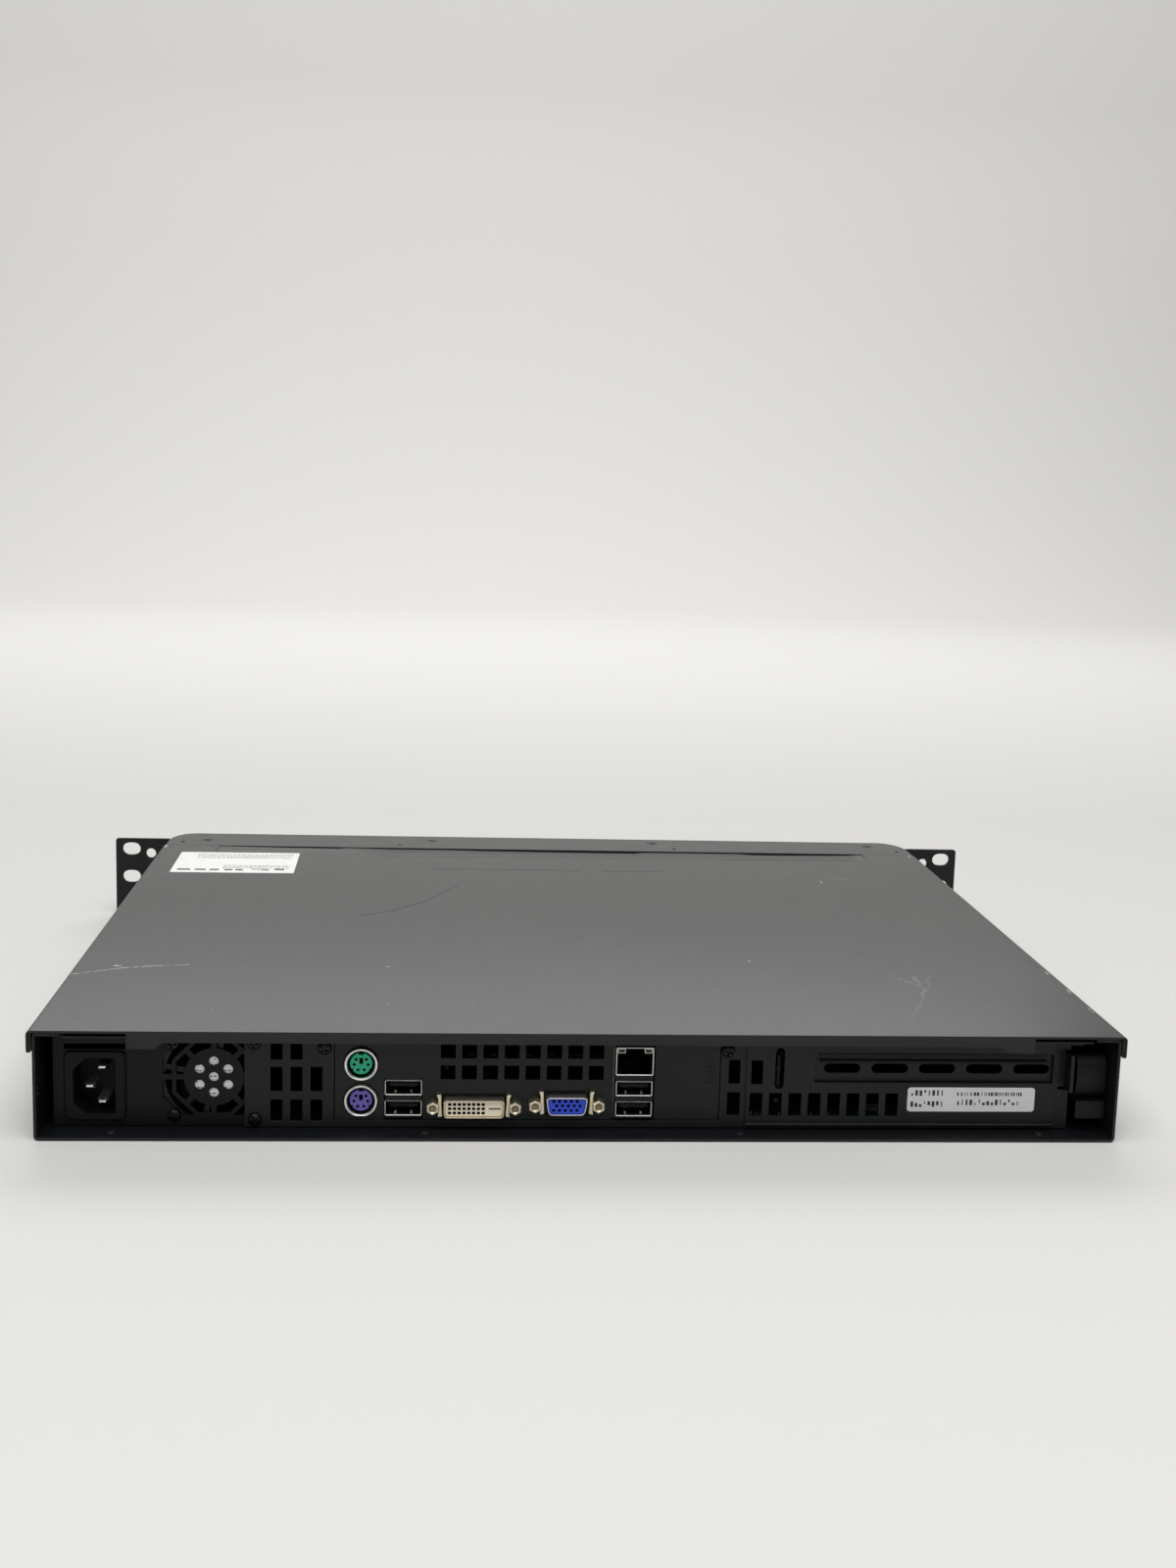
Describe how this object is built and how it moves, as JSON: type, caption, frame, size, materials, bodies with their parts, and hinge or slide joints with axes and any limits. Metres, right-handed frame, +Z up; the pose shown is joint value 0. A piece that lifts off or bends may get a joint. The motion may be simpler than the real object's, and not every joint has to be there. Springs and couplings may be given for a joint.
{
  "type": "firewall appliance",
  "caption": "Rack-mount network firewall appliance: slim steel case with slide-off cover, rear power inlet, fan and connectors, rounded front bezel and rack ears.",
  "frame": {"origin": "middle of the overall box, on the flat underside that it rests on", "axes": "+X to the right seen from the front, +Y to the rear where the connectors are, +Z up"},
  "size_m": [0.4826, 0.384, 0.0437],
  "materials": {
    "cover_paint": "fine satin powder coat",
    "black_paint": "fine matt powder coat",
    "bare_steel": "zinc plated",
    "nickel": "satin nickel plate",
    "black_plastic": "moulded",
    "cream_plastic": "moulded",
    "blue_plastic": "moulded",
    "green_plastic": "moulded",
    "purple_plastic": "moulded",
    "clear_plastic": "moulded",
    "circuit_board": "solder resist",
    "cast_aluminium": "as cast",
    "aluminium": "extruded",
    "cable_jacket": "sleeved",
    "red_jacket": "moulded"
  },
  "bodies": {
    "chassis": {"front_bezel": "cover_paint", "base_tray": "black_paint", "front_panel": "black_paint", "rack_ear_left": "black_paint", "rack_ear_right": "black_paint", "rear_panel": "black_paint", "io_shield": "black_paint", "slot_cover": "black_paint", "slot_retainer": "black_paint", "psu_case": "bare_steel", "psu_cover": "bare_steel", "drive_bracket": "bare_steel", "ps2_housing": "nickel", "usb_stack": "nickel", "lan_usb_stack": "nickel", "dvi_shell": "nickel", "vga_shell": "nickel", "dvi_jack_screw_1": "nickel", "dvi_jack_screw_2": "nickel", "vga_jack_screw_1": "nickel", "vga_jack_screw_2": "nickel", "front_lan_jack_1": "nickel", "front_lan_jack_2": "nickel", "psu_inlet": "black_plastic", "psu_fan_frame": "black_plastic", "cpu_fan_frame": "black_plastic", "chassis_fan_frame": "black_plastic", "dvi_insert": "cream_plastic", "vga_insert": "blue_plastic", "ps2_mouse_insert": "green_plastic", "ps2_keyboard_insert": "purple_plastic", "light_pipe_1": "clear_plastic", "light_pipe_2": "clear_plastic", "light_pipe_3": "clear_plastic", "light_pipe_4": "clear_plastic", "light_pipe_5": "clear_plastic", "motherboard": "circuit_board", "psu_board": "circuit_board", "port_board": "circuit_board", "led_board": "circuit_board", "memory_module_1": "circuit_board", "memory_module_2": "circuit_board", "hard_drive": "cast_aluminium", "cpu_heatsink": "aluminium", "chipset_heatsink": "aluminium", "atx_power_cable": "cable_jacket", "drive_power_cable": "cable_jacket", "front_panel_lead": "cable_jacket", "port_board_lead": "cable_jacket", "drive_data_cable": "red_jacket"},
    "cover": {"top_cover": "cover_paint"},
    "psu_fan": {"psu_fan_rotor": "black_plastic"},
    "cpu_fan": {"cpu_fan_rotor": "black_plastic"},
    "chassis_fan": {"chassis_fan_rotor": "black_plastic"},
    "power_button": {"power_button": "black_plastic"},
    "reset_button": {"reset_button": "black_plastic"}
  },
  "joints": [
    {"name": "cover_slide", "type": "slide", "parent": "chassis", "child": "cover", "axis": [0, 1, 0], "range_m": [0, 0.34]},
    {"name": "psu_fan_spin", "type": "hinge", "parent": "chassis", "child": "psu_fan", "pos_m": [0.1444, 0.167, 0.0212], "axis": [0, 1, 0], "continuous": true},
    {"name": "cpu_fan_spin", "type": "hinge", "parent": "chassis", "child": "cpu_fan", "pos_m": [0.008, 0.078, 0.0352], "axis": [0, 0, 1], "continuous": true},
    {"name": "chassis_fan_spin", "type": "hinge", "parent": "chassis", "child": "chassis_fan", "pos_m": [0.02, -0.066, 0.0211], "axis": [0, 1, 0], "continuous": true},
    {"name": "power_press", "type": "slide", "parent": "chassis", "child": "power_button", "axis": [0, 1, 0], "range_m": [0, 0.0015], "stiffness_N_per_m": 800, "springref_m": -0.001},
    {"name": "reset_press", "type": "slide", "parent": "chassis", "child": "reset_button", "axis": [0, 1, 0], "range_m": [0, 0.001], "stiffness_N_per_m": 800, "springref_m": -0.001}
  ]
}
